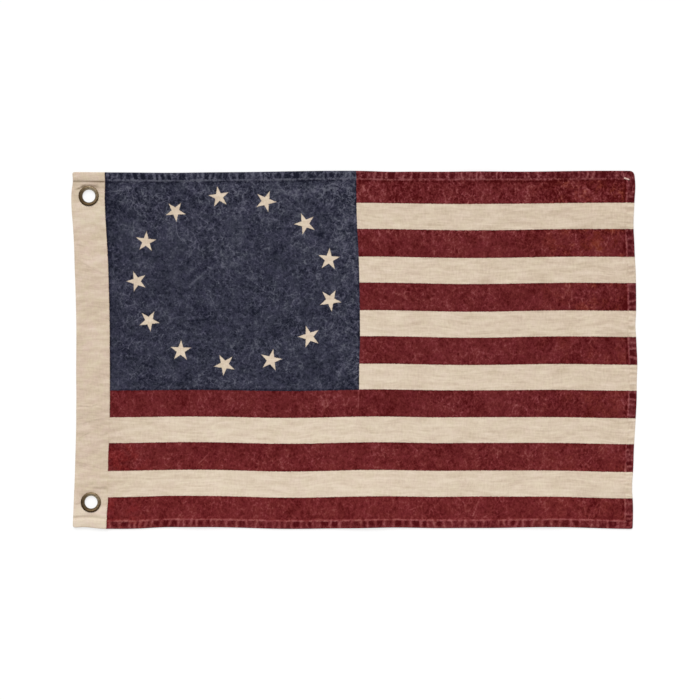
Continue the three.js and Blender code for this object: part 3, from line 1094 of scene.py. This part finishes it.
def heading_tone_and_fold_shade(ink, streaks):
    """The heading's tone: leaning soft folds as painted light and shade, paler below the top eyelet and at
    the foot.
    """
    lean = ink.node("CombineXYZ", {1: ink.times(ink.flat_x, -0.35)}).outputs[0]
    leaning = ink.stretched(ink.vector("ADD", ink.at, lean), 0.04, 0.16)
    # Painted light and shade of the soft folds, in bands that lean up towards the fly
    folds = ink.mottle(leaning, 1, 2, 0.5, 19, 0.2, -0.2, 0.2)
    paler = ink.total(ink.between(ink.flat_y, *BELOW_EYELET, 0.22), ink.zone(HEADING_FOOT, 0.34))
    return ink.total(ink.times(streaks, 0.75), 0.12, folds, paler)


def heading_folds(ink, colour):
    """Painted shade on the heading where its hems end and in its creases, and painted highlights on the foot
    hem's step and on its ridges.
    """
    top = ink.less(HALF_HEIGHT, ink.flat_y)
    foot = ink.total(HALF_HEIGHT, ink.parts(ink.bent)[1])
    on_heading = ink.zone(ON_HEADING)
    # Painted shade below the top hem's step, above the foot hem and in the creases; painted highlight on the
    # foot hem's step and the ridges
    shade_under_top = ink.total(
        ink.step(top, 7.4, 6.8, 0, 0.1),
        ink.times(ink.between(top, *TOP_HEM_STEP_SHADE), ink.zone(HEADING_OUTER, low=0.62)))
    dark = ink.total(shade_under_top, ink.between(foot, *FOOT_HEM_STEP_SHADE, 0.3), line_marks(ink, HEADING_CREASE_SHADE))
    light = ink.total(ink.between(foot, *FOOT_STEP_HIGHLIGHT, 0.7), line_marks(ink, HEADING_RIDGE_HIGHLIGHTS))
    shaded = ink.mix(ink.times(on_heading, dark), colour, FOLD_SHADE, "MULTIPLY")
    return ink.mix(ink.times(on_heading, light), shaded, HEADING_COTTON[2])


def bare_cotton(ink, yarn, roped, stitch_wear_and_step_shade):
    """Cotton without ink: the pale stripes, the stars and the heading."""
    slow = ink.mottle(ink.stretched(ink.bent, 0.05, 0.22), 1, 4, 0.6, 83, 0.2, 0.2, 0.8)
    streaks = ink.total(ink.level(yarn, 0.32, 0.68, -0.42, 0.42), slow)
    # Paler towards the foot and darker near the heading; the darkening towards the fly is painted shade from
    # the fly hem's curl
    tone_drift_and_fly_shade = ink.total(
        ink.level(ink.flat_y, -HALF_HEIGHT, HALF_HEIGHT, 0.15, -0.07),
        ink.zone(LEFT_STRIPES, 0.07, low=-0.09),
        ink.level(ink.flat_x, -10, 220, 0, -0.17))
    # On the bare cotton the hems' ridges are painted lighter and their hollows darker, as painted highlight
    # and shade
    tone = ink.total(streaks, tone_drift_and_fly_shade, ink.times(roped, 0.9), ink.times(stitch_wear_and_step_shade, -0.15))
    plain = tinted(ink, ink.tones(tone, COTTON), 0.3)
    heading_tone = heading_tone_and_fold_shade(ink, streaks)
    heading = tinted(ink, ink.tones(heading_tone, HEADING_COTTON), 0.6)
    return ink.mix(ink.zone(TONE_JOIN), plain, heading_folds(ink, heading))


def red_print(ink, depth, in_hem, hems):
    """Red is duller in the hems, rusty towards the fly and brighter in the low corner."""
    share = ink.total(red_wear(ink), hems, ink_edge(ink, depth, RED_INK_EDGE))
    rust_blots = ink.step(ink.noise(ink.at, 0.075, 5, 0.7, shift=97), 0.44, 0.62)
    rusty = ink.times(ink.zone(RUSTED, low=0.35), ink.step(ink.hem_inset(), 6.5, 9), rust_blots)
    bright_blots = ink.step(ink.noise(ink.at, 0.09, 4, 0.65, shift=157), 0.42, 0.6, 0, 0.9)
    bright = ink.times(ink.zone(LOW_CORNER), bright_blots)
    bright = ink.math("MAXIMUM", bright, ink.zone(LOW_STRIPES, 0.3))
    red = ink.tones(share, RED)
    for part, tones in ((in_hem, HEM_RED), (rusty, RUSTY), (bright, BRIGHT_RED)):
        red = ink.mix(part, red, ink.tones(share, tones))
    return tinted(ink, red, 1)


def navy_print(ink, depth, hems):
    share = ink.total(navy_wear(ink), hems, ink_edge(ink, depth, NAVY_INK_EDGE))
    return tinted(ink, ink.tones(share, NAVY), 0.7)


def printed_cotton(name, paleness=0.0, extra_wear=0.0):
    """The cloth: bare cotton, printed, washed, and worn along its ropy hems."""
    ink = InkBench(name)
    yarn = slubs(ink)
    in_hem, roped, stitch_wear_and_step_shade = hem_wear(ink)
    hems = ink.total(roped, stitch_wear_and_step_shade, extra_wear)
    stripe_depth, canton_depth = ink.stripe_depth(), ink.canton_depth()
    canton = ink.inside(canton_depth)
    stars = ink.times(ink.inside(ink.star_depth()), canton)
    bare = bare_cotton(ink, yarn, roped, stitch_wear_and_step_shade)
    red = red_print(ink, stripe_depth, in_hem, hems)
    colour = ink.mix(ink.inside(stripe_depth), bare, red)
    colour = ink.mix(canton, colour, navy_print(ink, canton_depth, hems))
    colour = ink.mix(stars, colour, bare)
    if paleness:
        colour = ink.mix(paleness, colour, COTTON[1])
    fuzz = ink.noise(ink.at, 0.9, 3, 0.7, shift=5)
    crinkle = ink.veins(ink.at, 0.12, 0.2, 3, 0.6, 0.6, 13)
    ink.bump(ink.total(weave(ink), ink.times(fuzz, 0.1), ink.times(crinkle, 0.05), ink.times(yarn, 0.1)))
    return ink.finish(colour, ink.level(fuzz, 0.3, 0.7, 0.86, 0.94), Specular_IOR_Level=0.05)


def pale_thread():
    bench = Bench("pale_thread")
    at = bench.millimetres(bench.node("TexCoord", {}).outputs["Object"])
    twist = bench.noise(at, 1.6, 2, 0.5)
    bench.bump(bench.times(twist, 0.1))
    colour = bench.mix(bench.level(twist, 0.3, 0.7), THREAD_PINK, THREAD_WHITE)
    return bench.finish(colour, 0.85, Specular_IOR_Level=0.2)


# Brass: the way it is painted lighter as painted light, how much brighter that and the crown (rubbed, and
# partly a painted reflection) are, and the crown's radii
BRASS_LIT_TOWARDS = (0.6, 0.8, 0)
BRASS_LIT_SIDE_HIGHLIGHT = 1 / 19
BRASS_CROWN_RUB_AND_REFLECTION = 0.34
BRASS_CROWN = (7.5, 5.9)


def aged_brass(name, centre):
    """Antique brass: bright on the crown, which is rubbed and partly a painted reflection, brown in its low
    places, and painted lighter towards one side as painted light.
    """
    bench = Bench(name)
    at = bench.millimetres(bench.node("TexCoord", {}).outputs["Object"])
    out = bench.vector("SUBTRACT", at, (centre.x, centre.y, 0))
    aside = bench.vector("MULTIPLY", out, (1, 1, 0))
    crown = bench.step(bench.vector("LENGTH", aside, output=1), *BRASS_CROWN)
    # Painted light: lighter towards the top and the fly side, darker opposite, as the light falls
    side = bench.vector("DOT_PRODUCT", aside, BRASS_LIT_TOWARDS, output=1)
    stain = bench.noise(at, 0.5, 3, 0.6)
    specks = bench.noise(at, 2.4, 2, 0.6, shift=9)
    tone = bench.total(bench.times(crown, BRASS_CROWN_RUB_AND_REFLECTION), bench.level(stain, 0.3, 0.7, 0, 0.3),
                       bench.level(specks, 0.3, 0.7, -0.12, 0.16), bench.times(side, BRASS_LIT_SIDE_HIGHLIGHT))
    bench.bump(bench.total(bench.times(stain, 0.05), bench.times(specks, 0.03)))
    return bench.finish(bench.tones(tone, BRASS), bench.level(stain, 0.3, 0.7, 0.45, 0.62), Metallic=1.0)


# ---------- floor, light and camera

def pale_floor():
    shape = bmesh.new()
    bmesh.ops.create_grid(shape, x_segments=2, y_segments=2, size=FLOOR_SIZE / 2)
    floor = made_object("floor", shape)
    bench = Bench("pale_floor")
    coordinates = bench.node("TexCoord", {}).outputs["Object"]
    soft = bench.noise(coordinates, 3, 2, 0.5)
    colour = bench.mix(bench.level(soft, 0, 1), (0.3, 0.3, 0.3, 1), (0.31, 0.31, 0.31, 1))
    floor.data.materials.append(bench.finish(
        colour, 0.9, Specular_IOR_Level=0.05, Emission_Color=(1, 1, 1, 1), Emission_Strength=FLOOR_GLOW))
    return floor


def soft_light():
    """Even light all round, and a broad soft source beyond the top edge."""
    world = bpy.data.worlds.new("studio")
    bpy.context.scene.world = world
    world.use_nodes = True
    sky = world.node_tree.nodes["Background"]
    sky.inputs["Color"].default_value = (1, 1, 1, 1)
    sky.inputs["Strength"].default_value = SKY_STRENGTH
    lamp = bpy.data.lights.new("broad_light", "SUN")
    lamp.energy = SUN_STRENGTH
    lamp.angle = math.radians(SUN_WIDTH)
    sun = bpy.data.objects.new("broad_light", lamp)
    sun.rotation_euler = Vector(SUN_FROM).to_track_quat("Z", "Y").to_euler()
    bpy.context.scene.collection.objects.link(sun)


def overhead_camera():
    lens = bpy.data.cameras.new("camera")
    lens.lens = 100
    lens.sensor_width = 36
    camera = bpy.data.objects.new("camera", lens)
    camera.location = CAMERA_AT
    bpy.context.scene.collection.objects.link(camera)
    bpy.context.scene.camera = camera


FLOOR_SIZE = 12
FLOOR_GLOW = 0.68
SKY_STRENGTH = 0.54
SUN_STRENGTH = 2.25
SUN_WIDTH = 35
SUN_FROM = (-0.12, 0.75, 0.95)
CAMERA_AT = (-0.00365, -0.00013, 1.5824)


# ---------- the whole flag

def whole_flag(floor):
    cloth = sewn_cloth()
    stitches = hem_stitches()
    thread = loose_thread()
    rings = eyelets()
    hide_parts("flag_cloth", "heading_strip")
    for piece in [cloth, stitches, thread, *rings]:
        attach(piece, "root")


bpy.context.scene.view_settings.view_transform = "Standard"
overhead_camera()
soft_light()
whole_flag(pale_floor())
